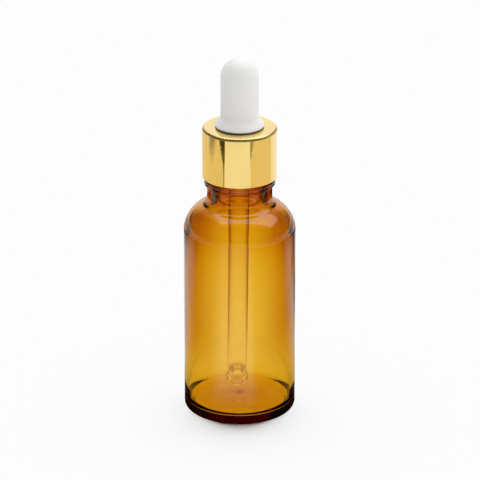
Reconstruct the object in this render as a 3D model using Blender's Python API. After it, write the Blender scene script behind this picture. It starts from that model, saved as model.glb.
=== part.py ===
"""Amber dropper bottle with a gold collar, a white teat and a glass pipette.

The bottle stands on z = 0 with its axis on the z axis. Everything that unscrews is
measured from the rim of the bottle, because that is what the dropper seats on, and
it hangs under two empties: one for the lift and, inside it, one for the turn.
Sizes are in metres. The neck is sized from the inside out: the pipette sets the
teat's stem, the stem sets the mouth, and the mouth sets the neck and the collar.
"""
import math

import bmesh
import bpy
from mathutils import Matrix, Vector

# Glass pipette
PIPETTE_RADIUS = 0.0030
PIPETTE_WALL = 0.0008
PIPETTE_LEAN = math.radians(0.6)  # it hangs slightly askew in its soft socket
FLARE = 0.0005
FLARE_HEIGHT = 0.0012
TIP_CLEARANCE = 0.0018
TIP_LENGTH = 0.0061
BALL_OVERHANG = 0.00025
SPOUT_BORE_RADIUS = 0.0006
BALL_CENTRE_share = 0.46
BALL_RISE_share = 0.42
WAIST_HEIGHT_share = 0.80
WAIST_share = 0.87
SPOUT_share = 0.45
BUBBLE_share = 0.60
BALL_END_ANGLE = math.radians(-48)
BUBBLE_ANGLES = (math.radians(-60), math.radians(50))

# Teat
SEAT_GAP = 0.0003
STEM_WALL = 0.0015
STEM_LENGTH = 0.0070
FLARE_CLEARANCE = 0.0005
TEAT_WALL = 0.0016
TEAT_LENGTH = 0.0206
SKIRT_OVERHANG = 0.00155
SKIRT_HEIGHT = 0.0031
SKIRT_EDGE_ROUND = 0.00055
SKIRT_UNDERCUT = 0.0001
SKIRT_EDGE_ANGLE = math.radians(30)
SKIRT_SWEEP_ANGLE = math.radians(215)
FLANGE_THICKNESS = 0.0014
GROOVE_STEP = 0.0002

# Neck of the bottle
MOUTH_CLEARANCE = 0.0008
NECK_WALL = 0.0024
FINISH_HEIGHT = 0.0120
RIM_ROUND = 0.0008
NECK_STEP = 0.0016
NECK_FILLET = 0.0030
BEAD_OVERHANG = 0.00085
BEAD_HEIGHT = 0.0024
BEAD_ANGLES = (math.radians(-50), math.radians(75))
NECK_LENGTH = 0.0034
LOWER_NECK_WALL = 0.0030

# Screw thread
THREAD_PITCH = 0.0030
THREAD_DEPTH = 0.0009
THREAD_TURNS = 1.6
THREAD_TOP_MARGIN = 0.0030
THREAD_CLEARANCE = 0.00035
THREAD_ROOT_share = 0.50
THREAD_CREST_share = 0.22
RUN_OUT_share = 0.12

# Body of the bottle
BODY_RADIUS = 0.0165
SHOULDER_WALL = 0.0021
HEEL_WALL = 0.0013
STRAIGHT_HEIGHT = 0.0567
SHOULDER_RADIUS = 0.00855
HEEL_RADIUS = 0.0018
FOOT_RING_WIDTH = 0.0018
PUSH_UP = 0.0012
FLOOR_EDGE_THICKNESS = 0.0024
FLOOR_RISE = 0.0024
FLOOR_FILLET = 0.0024

# Collar
LINER_WALL = 0.00105
LINER_TOP = 0.0010
LINER_LIFT = 0.0004
SHELL_WALL = 0.0004
SHELL_EDGE_ROUND = 0.0006
SHELL_LIP_TURN = 0.0002

# How round the turned pieces are
TURNED_STEPS = 40
TEAT_STEPS = 32
PIPETTE_STEPS = 24
ARC_STEPS = 5
FINE_ARC_STEPS = 8
SMALL_ARC_STEPS = 3
FULL_TURN = 2 * math.pi
RIGHT_ANGLE = math.pi / 2
HALF_TURN = math.pi
SHARP_ANGLE = math.radians(40)
WELD_DISTANCE = 1e-7

# Radii from the inside out
STEM_BORE = PIPETTE_RADIUS + SEAT_GAP
STEM_RADIUS = STEM_BORE + STEM_WALL
MOUTH_RADIUS = STEM_RADIUS + MOUTH_CLEARANCE
FINISH_RADIUS = MOUTH_RADIUS + NECK_WALL
NECK_RADIUS = FINISH_RADIUS + NECK_STEP
BEAD_RADIUS = NECK_RADIUS + BEAD_OVERHANG
THREAD_CREST = FINISH_RADIUS + THREAD_DEPTH
LINER_BORE = THREAD_CREST + THREAD_CLEARANCE
LINER_RADIUS = LINER_BORE + LINER_WALL
SHELL_BORE = LINER_RADIUS + SEAT_GAP
SHELL_RADIUS = SHELL_BORE + SHELL_WALL
FLARE_RADIUS = PIPETTE_RADIUS + FLARE
CAVITY_RADIUS = FLARE_RADIUS + FLARE_CLEARANCE
TEAT_RADIUS = CAVITY_RADIUS + TEAT_WALL
GROOVE_RADIUS = TEAT_RADIUS + GROOVE_STEP
HOLE_RADIUS = GROOVE_RADIUS + SEAT_GAP
SKIRT_RADIUS = TEAT_RADIUS + SKIRT_OVERHANG
FLANGE_RADIUS = FINISH_RADIUS + THREAD_CLEARANCE

# Heights above the table
SHOULDER_CENTRE = Vector((BODY_RADIUS - SHOULDER_RADIUS, STRAIGHT_HEIGHT))
SHOULDER_TOP = STRAIGHT_HEIGHT + math.sqrt(
    (SHOULDER_RADIUS + NECK_FILLET) ** 2
    - (NECK_RADIUS + NECK_FILLET - SHOULDER_CENTRE.x) ** 2
)
BEAD_BOTTOM = SHOULDER_TOP + NECK_LENGTH
BEAD_TOP = BEAD_BOTTOM + BEAD_HEIGHT
RIM_HEIGHT = BEAD_TOP + FINISH_HEIGHT
FLOOR_CENTRE = FLOOR_EDGE_THICKNESS + FLOOR_RISE

# Heights above the rim, for what the dropper carries
FLANGE_BOTTOM = SEAT_GAP
FLANGE_TOP = FLANGE_BOTTOM + FLANGE_THICKNESS
LINER_CEILING = FLANGE_TOP + SEAT_GAP
LINER_HEAD = LINER_CEILING + LINER_TOP
SHELL_CEILING = LINER_HEAD + SEAT_GAP
SHELL_HEAD = SHELL_CEILING + SHELL_WALL
SHELL_FOOT = SEAT_GAP - FINISH_HEIGHT
LINER_FOOT = SHELL_FOOT + LINER_LIFT
SKIRT_FOOT = SHELL_HEAD + SEAT_GAP
TEAT_TOP = SKIRT_FOOT + TEAT_LENGTH
STEM_FOOT = FLANGE_BOTTOM - STEM_LENGTH
CAVITY_FLOOR = SKIRT_FOOT
SOCKET_MIDDLE = (CAVITY_FLOOR + STEM_FOOT) / 2


def clear_scene():
    """Remove whatever a new file starts with."""
    for thing in list(bpy.data.objects):
        bpy.data.objects.remove(thing, do_unlink=True)


def finish(name, colour, roughness, metallic=0.0, transmission=0.0):
    """A plain Principled material."""
    material = bpy.data.materials.new(name)
    material.use_nodes = True
    shader = material.node_tree.nodes["Principled BSDF"]
    shader.inputs["Base Color"].default_value = (*colour, 1.0)
    shader.inputs["Roughness"].default_value = roughness
    shader.inputs["Metallic"].default_value = metallic
    shader.inputs["Transmission Weight"].default_value = transmission
    return material


def arc(centre, radius, start, end, steps, height=None):
    """Points (r, z) from angle start to end about centre. height makes it an ellipse."""
    rise = radius if height is None else height
    points = []
    for step in range(steps + 1):
        angle = start + (end - start) * step / steps
        reach = Vector((radius * math.cos(angle), rise * math.sin(angle)))
        points.append(Vector(centre) + reach)
    return points


def dome(radius, edge, rise, steps):
    """Points of a shallow dome, from its edge at radius up to the axis."""
    points = []
    for step in range(steps + 1):
        share = 1 - step / steps
        points.append(Vector((radius * share, edge + rise * (1 - share ** 2))))
    return points


def shoulder(radius, neck_radius, fillet, steps, fillet_steps):
    """The shoulder's round and the fillet into the neck, as (r, z) points going up."""
    reach = radius + fillet
    across = neck_radius + fillet - SHOULDER_CENTRE.x
    up = math.sqrt(reach ** 2 - across ** 2)
    meeting = math.atan2(up, across)
    fillet_centre = SHOULDER_CENTRE + Vector((across, up))
    round_part = arc(SHOULDER_CENTRE, radius, 0, meeting, steps)
    fillet_part = arc(fillet_centre, fillet, meeting + HALF_TURN, HALF_TURN, fillet_steps)
    if meeting > RIGHT_ANGLE:
        fillet_part = arc(fillet_centre, fillet, meeting - HALF_TURN, -HALF_TURN, fillet_steps)
    return round_part + fillet_part[1:]


def turned(name, profile, steps, material, closed=True):
    """Spin an (r, z) outline about the z axis into one closed mesh object."""
    bm = bmesh.new()
    ring = [bm.verts.new((point[0], 0, point[1])) for point in profile]
    edges = [bm.edges.new(pair) for pair in zip(ring, ring[1:])]
    if closed:
        edges.append(bm.edges.new((ring[-1], ring[0])))
    bmesh.ops.spin(
        bm,
        geom=ring + edges,
        cent=(0, 0, 0),
        axis=(0, 0, 1),
        angle=FULL_TURN,
        steps=steps,
        use_merge=True,
    )
    bmesh.ops.remove_doubles(bm, verts=bm.verts, dist=WELD_DISTANCE)
    bmesh.ops.recalc_face_normals(bm, faces=bm.faces)
    return mesh_object(name, bm, material)


def mesh_object(name, bm, material=None):
    """Store a bmesh as a smooth-shaded object."""
    mesh = bpy.data.meshes.new(name)
    bm.to_mesh(mesh)
    bm.free()
    mesh.shade_smooth()
    mesh.set_sharp_from_angle(angle=SHARP_ANGLE)
    if material:
        mesh.materials.append(material)
    thing = bpy.data.objects.new(name, mesh)
    bpy.context.scene.collection.objects.link(thing)
    return thing


def thread_ridge(name, wall, depth, middle, turns, start_angle):
    """A helical ridge on a wall of radius wall, with both ends run out into the wall.

    A positive depth stands out from the wall, a negative one stands into the bore.
    middle is the height of the ridge's midpoint.
    """
    bm = bmesh.new()
    buried = wall - math.copysign(THREAD_CLEARANCE, depth)
    sunk = wall - math.copysign(THREAD_CLEARANCE / 2, depth)
    steps = round(turns * TURNED_STEPS)
    root_half = THREAD_PITCH * THREAD_ROOT_share / 2
    crest_half = THREAD_PITCH * THREAD_CREST_share / 2
    rings = []
    for step in range(steps + 1):
        travel = step / steps
        end_share = min(travel, 1 - travel) / RUN_OUT_share
        fullness = math.sin(RIGHT_ANGLE * min(1, end_share))
        crest = sunk + (wall + depth - sunk) * fullness
        angle = start_angle + FULL_TURN * turns * travel
        height = middle + THREAD_PITCH * turns * (travel - 0.5)
        section = [
            (buried, -root_half),
            (crest, -crest_half),
            (crest, crest_half),
            (buried, root_half),
        ]
        turn = Matrix.Rotation(angle, 3, "Z")
        rings.append([bm.verts.new(turn @ Vector((r, 0, height + dz))) for r, dz in section])
    for low, high in zip(rings, rings[1:]):
        for side in range(len(low)):
            after = (side + 1) % len(low)
            bm.faces.new((low[side], low[after], high[after], high[side]))
    bm.faces.new(rings[0])
    bm.faces.new(list(reversed(rings[-1])))
    bmesh.ops.recalc_face_normals(bm, faces=bm.faces)
    ridge = mesh_object(name, bm)
    ridge.hide_render = True
    ridge.display_type = "WIRE"
    return ridge


def weld_on(body, ridge):
    """Join a ridge to the piece that carries it."""
    union = body.modifiers.new("thread", "BOOLEAN")
    union.operation = "UNION"
    union.object = ridge
    return union


def hang(thing, parent, place=(0, 0, 0)):
    """Put a thing under a parent, at a place in the parent's own frame."""
    thing.parent = parent
    thing.location = place


def bead_profile():
    """Fillet under the bead, its round and the step in to the finish, going up."""
    round_radius = BEAD_HEIGHT / 2
    centre = Vector((BEAD_RADIUS - round_radius, BEAD_TOP - round_radius))
    cove = BEAD_OVERHANG / 2
    cove_centre = Vector((NECK_RADIUS + cove, BEAD_BOTTOM - cove))
    under = arc(cove_centre, cove, HALF_TURN, RIGHT_ANGLE, SMALL_ARC_STEPS)
    around = arc(centre, round_radius, *BEAD_ANGLES, ARC_STEPS)
    step_in = [Vector((FINISH_RADIUS, BEAD_TOP))]
    return under + around + step_in


def bottle_profile():
    """Half section of the bottle, from the middle of its underside round to its floor."""
    ring_outer = BODY_RADIUS - HEEL_RADIUS
    ring_inner = ring_outer - FOOT_RING_WIDTH
    floor_radius = BODY_RADIUS - HEEL_WALL - FLOOR_FILLET
    neck_bore = NECK_RADIUS - LOWER_NECK_WALL
    lip = RIM_HEIGHT - RIM_ROUND
    underside = list(reversed(dome(ring_inner, 0, PUSH_UP, SMALL_ARC_STEPS)))
    heel = arc((ring_outer, HEEL_RADIUS), HEEL_RADIUS, -RIGHT_ANGLE, 0, ARC_STEPS)
    outside = shoulder(SHOULDER_RADIUS, NECK_RADIUS, NECK_FILLET, FINE_ARC_STEPS, SMALL_ARC_STEPS)
    rim_outer = arc((FINISH_RADIUS - RIM_ROUND, lip), RIM_ROUND, 0, RIGHT_ANGLE, SMALL_ARC_STEPS)
    rim_inner = arc(
        (MOUTH_RADIUS + RIM_ROUND, lip), RIM_ROUND, RIGHT_ANGLE, HALF_TURN, SMALL_ARC_STEPS
    )
    narrowing = [Vector((MOUTH_RADIUS, BEAD_TOP)), Vector((neck_bore, BEAD_BOTTOM))]
    inside = shoulder(
        SHOULDER_RADIUS - SHOULDER_WALL,
        neck_bore,
        NECK_FILLET + SHOULDER_WALL,
        FINE_ARC_STEPS,
        ARC_STEPS,
    )
    corner = arc(
        (floor_radius, FLOOR_EDGE_THICKNESS + FLOOR_FILLET),
        FLOOR_FILLET,
        0,
        -RIGHT_ANGLE,
        ARC_STEPS,
    )
    floor = dome(floor_radius, FLOOR_EDGE_THICKNESS, FLOOR_RISE, SMALL_ARC_STEPS)
    return (
        underside
        + heel
        + outside
        + bead_profile()
        + rim_outer
        + rim_inner
        + narrowing
        + list(reversed(inside))
        + corner
        + floor[1:]
    )


def shell_profile():
    """Half section of the drawn metal cup: open below, with a hole for the teat."""
    edge = SHELL_EDGE_ROUND
    foot_radius = SHELL_BORE - SHELL_LIP_TURN
    corner = arc(
        (SHELL_RADIUS - edge, SHELL_HEAD - edge), edge, 0, RIGHT_ANGLE, SMALL_ARC_STEPS
    )
    return [
        Vector((HOLE_RADIUS, SHELL_HEAD)),
        Vector((HOLE_RADIUS, SHELL_CEILING)),
        Vector((SHELL_BORE, SHELL_CEILING)),
        Vector((SHELL_BORE, SHELL_FOOT + SHELL_WALL)),
        Vector((foot_radius, SHELL_FOOT)),
        Vector((SHELL_RADIUS - SHELL_LIP_TURN, SHELL_FOOT)),
        Vector((SHELL_RADIUS, SHELL_FOOT + SHELL_WALL)),
    ] + corner


def liner_profile():
    """Half section of the moulded inner cap that carries the female thread."""
    edge = LINER_WALL / 2
    outer = LINER_RADIUS - SHELL_LIP_TURN
    return [
        Vector((HOLE_RADIUS, LINER_HEAD)),
        Vector((HOLE_RADIUS, LINER_CEILING)),
        Vector((LINER_BORE, LINER_CEILING)),
        Vector((LINER_BORE, LINER_FOOT)),
        Vector((outer, LINER_FOOT)),
        Vector((LINER_RADIUS, LINER_FOOT + SHELL_WALL)),
        Vector((LINER_RADIUS, LINER_HEAD - edge)),
        Vector((LINER_RADIUS - edge, LINER_HEAD)),
    ]


def teat_profile():
    """Half section of the teat: cavity, socket, flange, groove, skirt, barrel and dome."""
    cavity_top = TEAT_TOP - TEAT_WALL - CAVITY_RADIUS
    dome_centre = TEAT_TOP - TEAT_RADIUS
    skirt_centre = (SKIRT_RADIUS - SKIRT_EDGE_ROUND, SKIRT_FOOT + SKIRT_UNDERCUT + SKIRT_EDGE_ROUND)
    waist = SKIRT_FOOT + SKIRT_HEIGHT
    cavity = arc((0, cavity_top), CAVITY_RADIUS, RIGHT_ANGLE, 0, ARC_STEPS)
    skirt_round = arc(skirt_centre, SKIRT_EDGE_ROUND, -RIGHT_ANGLE, SKIRT_EDGE_ANGLE, ARC_STEPS)
    sweep_in = arc((SKIRT_RADIUS, waist), SKIRT_OVERHANG, SKIRT_SWEEP_ANGLE, HALF_TURN, ARC_STEPS)
    barrel_dome = arc((0, dome_centre), TEAT_RADIUS, 0, RIGHT_ANGLE, FINE_ARC_STEPS)
    return (
        cavity
        + [
            Vector((CAVITY_RADIUS, CAVITY_FLOOR)),
            Vector((STEM_BORE, CAVITY_FLOOR)),
            Vector((STEM_BORE, STEM_FOOT)),
            Vector((STEM_RADIUS, STEM_FOOT)),
            Vector((STEM_RADIUS, FLANGE_BOTTOM)),
            Vector((FLANGE_RADIUS, FLANGE_BOTTOM)),
            Vector((FLANGE_RADIUS, FLANGE_TOP)),
            Vector((GROOVE_RADIUS, FLANGE_TOP)),
            Vector((GROOVE_RADIUS, SKIRT_FOOT)),
        ]
        + skirt_round
        + sweep_in
        + barrel_dome
    )


def pipette_profile(top, tip):
    """Half section of the pipette from its flared top down to its ball tip and back up."""
    bore = PIPETTE_RADIUS - PIPETTE_WALL
    ball = PIPETTE_RADIUS + BALL_OVERHANG
    ball_rise = TIP_LENGTH * BALL_RISE_share
    ball_centre = (0, tip + TIP_LENGTH * BALL_CENTRE_share)
    tube_end = tip + TIP_LENGTH
    waist = PIPETTE_RADIUS * WAIST_share
    ball_start = math.acos(waist / ball)
    around = arc(ball_centre, ball, ball_start, BALL_END_ANGLE, FINE_ARC_STEPS, ball_rise)
    bubble = arc(
        ball_centre, ball * BUBBLE_share, *BUBBLE_ANGLES, ARC_STEPS, ball_rise * BUBBLE_share
    )
    outside = [
        Vector((FLARE_RADIUS, top)),
        Vector((FLARE_RADIUS, top - FLARE_HEIGHT / 2)),
        Vector((PIPETTE_RADIUS, top - FLARE_HEIGHT)),
        Vector((PIPETTE_RADIUS, tube_end)),
        Vector((waist, tip + TIP_LENGTH * WAIST_HEIGHT_share)),
    ]
    spout = [
        Vector((PIPETTE_RADIUS * SPOUT_share, tip)),
        Vector((SPOUT_BORE_RADIUS, tip)),
        Vector((SPOUT_BORE_RADIUS, tip + SPOUT_BORE_RADIUS)),
    ]
    throat = [
        Vector((bubble[-1].x, tube_end - PIPETTE_WALL)),
        Vector((bore, tube_end)),
        Vector((bore, top)),
    ]
    return outside + around + spout + bubble + throat


def build():
    """Make the bottle, then the dropper that screws onto it."""
    clear_scene()
    amber = finish("amber_glass", (0.60, 0.24, 0.01), 0.05, transmission=0.9)
    clear = finish("clear_glass", (0.90, 0.92, 0.90), 0.03, transmission=0.95)
    gold = finish("gold_anodised_aluminium", (0.90, 0.66, 0.22), 0.15, metallic=1.0)
    plastic = finish("black_polypropylene", (0.03, 0.03, 0.03), 0.45)
    silicone = finish("white_silicone", (0.80, 0.79, 0.78), 0.60)

    bottle = turned("glass_bottle", bottle_profile(), TURNED_STEPS, amber, closed=False)
    half_step = FULL_TURN / TURNED_STEPS / 2
    thread_middle = RIM_HEIGHT - THREAD_TOP_MARGIN - THREAD_PITCH * THREAD_TURNS / 2
    male = thread_ridge(
        "bottle_thread", FINISH_RADIUS, THREAD_DEPTH, thread_middle, THREAD_TURNS, half_step
    )
    weld_on(bottle, male)

    lift = bpy.data.objects.new("dropper_lift_axis", None)
    turn = bpy.data.objects.new("collar_turn_axis", None)
    for empty in (lift, turn):
        bpy.context.scene.collection.objects.link(empty)
    hang(lift, None, (0, 0, RIM_HEIGHT))
    hang(turn, lift)

    shell = turned("collar_shell", shell_profile(), TURNED_STEPS, gold)
    liner = turned("collar_liner", liner_profile(), TURNED_STEPS, plastic)
    female = thread_ridge(
        "liner_thread",
        LINER_BORE,
        -THREAD_DEPTH,
        thread_middle - THREAD_PITCH / 2 - RIM_HEIGHT,
        THREAD_TURNS,
        half_step,
    )
    weld_on(liner, female)
    for piece in (shell, liner, female):
        hang(piece, turn)

    teat = turned("dropper_teat", teat_profile(), TEAT_STEPS, silicone, closed=False)
    hang(teat, lift)

    top = CAVITY_FLOOR + SEAT_GAP + FLARE_HEIGHT - SOCKET_MIDDLE
    tip = FLOOR_CENTRE + TIP_CLEARANCE - RIM_HEIGHT - SOCKET_MIDDLE
    pipette = turned("glass_pipette", pipette_profile(top, tip), PIPETTE_STEPS, clear)
    hang(pipette, lift, (0, 0, SOCKET_MIDDLE))
    pipette.rotation_euler.y = PIPETTE_LEAN


build()
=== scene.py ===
# %% [markdown]
# # An amber dropper bottle with a gold collar
#
# The bottle is five pieces, as the real one is: a blown glass bottle, a drawn metal
# collar, a moulded cap hidden inside the collar, a soft teat and a glass pipette.
# Nearly all of them are round, so each starts as half a section, a few corner points
# beside the axis, and is spun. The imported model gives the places, and this script
# gives every piece its finer shape and its finish.

import math

import bmesh
import bpy
from mathutils import Matrix, Vector


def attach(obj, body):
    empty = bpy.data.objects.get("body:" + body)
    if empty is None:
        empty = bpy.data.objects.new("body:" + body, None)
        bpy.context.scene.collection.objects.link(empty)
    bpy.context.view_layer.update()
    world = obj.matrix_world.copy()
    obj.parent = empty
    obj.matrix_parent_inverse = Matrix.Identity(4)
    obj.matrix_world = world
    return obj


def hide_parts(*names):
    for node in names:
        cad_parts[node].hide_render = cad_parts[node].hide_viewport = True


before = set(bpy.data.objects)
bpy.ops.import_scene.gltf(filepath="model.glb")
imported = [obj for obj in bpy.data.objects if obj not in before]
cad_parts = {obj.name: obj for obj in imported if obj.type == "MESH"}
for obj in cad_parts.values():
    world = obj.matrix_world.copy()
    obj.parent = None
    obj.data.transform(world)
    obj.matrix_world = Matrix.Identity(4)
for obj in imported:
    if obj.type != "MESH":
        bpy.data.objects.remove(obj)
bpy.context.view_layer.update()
MM = 0.001

# %% [markdown]
# ## The camera
#
# The photograph was taken from a little over a metre away with a long lens, looking
# down by 22 degrees. That shows in how flat the two rims of the collar are and in how
# little the bottle narrows towards its foot. A short lens from near by would bend both.

# %% Set up the camera
CAMERA_DISTANCE = 1.1
CAMERA_TILT = math.radians(22)
CAMERA_LENS = 279.0
CAMERA_SENSOR = 36.0
CAMERA_CLIP = 0.05
AIM = Vector((0.0001, 0, 0.05295))
AIM_HEIGHT = 0.052

camera_data = bpy.data.cameras.new("camera")
camera_data.lens = CAMERA_LENS
camera_data.sensor_width = CAMERA_SENSOR
camera_data.clip_start = CAMERA_CLIP
camera = bpy.data.objects.new("camera", camera_data)
bpy.context.scene.collection.objects.link(camera)
camera.location = (
    0,
    -CAMERA_DISTANCE * math.cos(CAMERA_TILT),
    AIM_HEIGHT + CAMERA_DISTANCE * math.sin(CAMERA_TILT),
)
camera.rotation_euler = (AIM - camera.location).to_track_quat("-Z", "Y").to_euler()
bpy.context.scene.camera = camera
print("camera at", [round(c, 4) for c in camera.location])

# %% [markdown]
# ## Colours and nodes
#
# Every colour below is written as it looks on a screen. Blender works with linear
# light, so one function turns the written colour into it. One more adds a node,
# makes its settings and joins it up, which keeps each material short enough to read.

# %% Helpers for colours and nodes
def linear(written):
    """A colour written as RRGGBB, as linear light."""
    parts = [int(written[place:place + 2], 16) / 255 for place in (0, 2, 4)]
    light = [p / 12.92 if p < 0.04045 else ((p + 0.055) / 1.055) ** 2.4 for p in parts]
    return (*light, 1.0)


def add(tree, kind, inputs=None, **settings):
    """Add a node. inputs gives each socket a value or the output that feeds it."""
    made = tree.nodes.new(kind)
    for name, value in settings.items():
        setattr(made, name, value)
    for socket, value in (inputs or {}).items():
        if isinstance(value, bpy.types.NodeSocket):
            tree.links.new(value, made.inputs[socket])
        else:
            made.inputs[socket].default_value = value
    return made


def new_tree(name):
    """A material with nothing in it but its output."""
    material = bpy.data.materials.new(name)
    material.use_nodes = True
    tree = material.node_tree
    tree.nodes.clear()
    return material, tree, tree.nodes.new("ShaderNodeOutputMaterial")


print("white paper as linear light:", [round(c, 3) for c in linear("EEEEEE")])

# %% [markdown]
# ## The floor
#
# The bottle stands on white paper so brightly lit that it photographs as pure white,
# apart from a faint grey pool of shadow around the foot. Lighting the paper that hard
# would burn out the bottle too. So the floor is part plain white paper, which takes the
# real shadow, and part glow, and the glow takes over completely away from the bottle.
# The grey pool is partly painted shade: the glow fades towards a spot just in front of
# the foot, so the dimmer paper shows there. Light Path tells the rays apart: the camera
# sees that mixture, while shiny surfaces and the glass see the glow alone, at a
# strength that the next steps work out by place, as painted light and shade.

# %% Share the floor between paper and glow
# The grey pool round the foot is painted shade: the glow fades by distance from this spot.
SHADOW_PLACE = (0, -0.010, 0)
SHADOW_SIZE = 0.0072
SHADOW_FALL = 1.6
GLOW_MOST = 1.02

floor_finish, tree, output = new_tree("white_paper_floor")
rays = add(tree, "ShaderNodeLightPath")
through = rays.outputs["Is Transmission Ray"]
# Blender counts a refracted ray as glossy too, so a true reflection is what is left.
mirror = add(tree, "ShaderNodeMath", {0: rays.outputs["Is Glossy Ray"], 1: through},
             operation="SUBTRACT", use_clamp=True).outputs[0]
place = add(tree, "ShaderNodeTexCoord").outputs["Object"]
pool = add(tree, "ShaderNodeVectorMath", {0: place, 1: SHADOW_PLACE},
           operation="DISTANCE").outputs["Value"]
pool = add(tree, "ShaderNodeMath", {0: SHADOW_SIZE, 1: pool},
           operation="DIVIDE").outputs[0]
pool = add(tree, "ShaderNodeMath", {0: pool, 1: SHADOW_FALL},
           operation="POWER").outputs[0]
around = add(tree, "ShaderNodeMath", {0: GLOW_MOST, 1: pool}, operation="SUBTRACT",
             use_clamp=True).outputs[0]
seen = add(tree, "ShaderNodeMath", {0: around, 1: rays.outputs["Is Camera Ray"]},
           operation="MULTIPLY").outputs[0]
share = add(tree, "ShaderNodeMath", {0: seen, 1: mirror}, operation="ADD").outputs[0]
share = add(tree, "ShaderNodeMath", {0: share, 1: through}, operation="MAXIMUM").outputs[0]
print("the glow fades towards the shadow by powers of", SHADOW_FALL)

# %% [markdown]
# ## Places on the floor
#
# The pattern of the floor is drawn by place: how far a spot is from the bottle's axis,
# and in which direction. A slant of 1 is straight to the right and -1 to the left. A
# facing of 1 is straight behind the bottle and -1 straight in front of it. Both are a
# coordinate divided by the distance, so they cost one node each and need no angle.

# %% Give each place its distance and direction
SOFT = "SMOOTHSTEP"
FRONT_FADE = 0.06
LIMIT_LEFT, LIMIT_LEFT_FADE = -0.85, 0.35
LIMIT_RIGHT, LIMIT_RIGHT_FADE = 0.55, 0.25

away = add(tree, "ShaderNodeVectorMath", {0: place}, operation="LENGTH").outputs["Value"]
sides = add(tree, "ShaderNodeSeparateXYZ", {0: place})
along_x, along_y = sides.outputs["X"], sides.outputs["Y"]
slant = add(tree, "ShaderNodeMath", {0: along_x, 1: away}, operation="DIVIDE").outputs[0]
facing = add(tree, "ShaderNodeMath", {0: along_y, 1: away}, operation="DIVIDE").outputs[0]
front = add(tree, "ShaderNodeMapRange", {
    "Value": along_y, "From Min": FRONT_FADE, "From Max": 0.0},
    interpolation_type=SOFT).outputs[0]
from_left = add(tree, "ShaderNodeMapRange", {
    "Value": slant, "From Min": LIMIT_LEFT, "From Max": LIMIT_LEFT + LIMIT_LEFT_FADE},
    interpolation_type=SOFT).outputs[0]
from_right = add(tree, "ShaderNodeMapRange", {
    "Value": slant, "From Min": LIMIT_RIGHT, "From Max": LIMIT_RIGHT - LIMIT_RIGHT_FADE},
    interpolation_type=SOFT).outputs[0]
limits = add(tree, "ShaderNodeMath", {0: from_left, 1: from_right},
             operation="MULTIPLY").outputs[0]
print("middle of the floor: slant", LIMIT_LEFT, "to", LIMIT_RIGHT)

# %% [markdown]
# ## What the body mirrors of the floor
#
# The upright wall of the body mirrors the floor up to about 17 cm away. What it mirrors
# there is painted reflection, a pattern in the floor's glow that only shiny surfaces
# see. In front of the bottle it is a faint milky veil, strongest low down, with an end
# like a curtain's hem just under the shoulder. At both edges something dark stood, so
# the veil is painted out there. Behind the bottle the floor is painted bright close by.

# %% Shade the floor that the body mirrors
# Painted reflection: the veil, its dark edges and the bright floor behind are seen only by
# shiny surfaces.
VEIL_START, VEIL_FULL = 0.026, 0.045
VEIL_NEAR, VEIL_FAR, VEIL_WEAK = 0.060, 0.135, 0.50
VEIL_END, VEIL_HEM = 0.166, 0.007
BEHIND_BRIGHT, BEHIND_FADE, BEHIND_LEVEL = 0.130, 0.162, 0.80

veil = add(tree, "ShaderNodeMapRange", {
    "Value": away, "From Min": VEIL_FAR, "From Max": VEIL_NEAR, "To Min": VEIL_WEAK},
    interpolation_type=SOFT).outputs[0]
opening = add(tree, "ShaderNodeMapRange", {
    "Value": away, "From Min": VEIL_START, "From Max": VEIL_FULL},
    interpolation_type=SOFT).outputs[0]
closing = add(tree, "ShaderNodeMapRange", {
    "Value": away, "From Min": VEIL_END + VEIL_HEM, "From Max": VEIL_END},
    interpolation_type=SOFT).outputs[0]
for part in (opening, closing, limits):
    veil = add(tree, "ShaderNodeMath", {0: veil, 1: part}, operation="MULTIPLY").outputs[0]
in_back = add(tree, "ShaderNodeMapRange", {
    "Value": away, "From Min": BEHIND_FADE, "From Max": BEHIND_BRIGHT,
    "To Max": BEHIND_LEVEL}, interpolation_type=SOFT).outputs[0]
for_shine = add(tree, "ShaderNodeMix", {0: front, 2: in_back, 3: veil},
                data_type="FLOAT").outputs[0]
print("veil ends", round(VEIL_END / MM), "mm from the axis")

# %% [markdown]
# ## What the collar and the shoulder mirror of the floor
#
# The collar's wall stands higher and mirrors a ring of bright paper 19 to 25 cm away.
# The shoulder leans back and mirrors the floor from there on. That part was dimmer in
# front, and grew lighter again further out. Behind the bottle, where the photograph
# shows nothing, the paper stays bright, so that the collar looks gold from there too.
# All of this is painted reflection in the floor's glow, seen by shiny surfaces only.

# %% Shade the floor that the collar and the shoulder mirror
# Painted reflection: the bright ring and the dimmer and lighter floor beyond it.
RING_NEAR, RING_STEP = 0.187, 0.005
RING_FAR, RING_FADE = 0.250, 0.01
AHEAD_FROM, AHEAD_FULL = -0.7, -0.95
FAR_START, FAR_FADE, FAR_FRONT, FAR_BEHIND = 0.262, 0.04, 0.22, 0.80
FURTHER_START, FURTHER_FADE, FURTHER_LEVEL = 0.40, 0.2, 0.60

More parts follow.
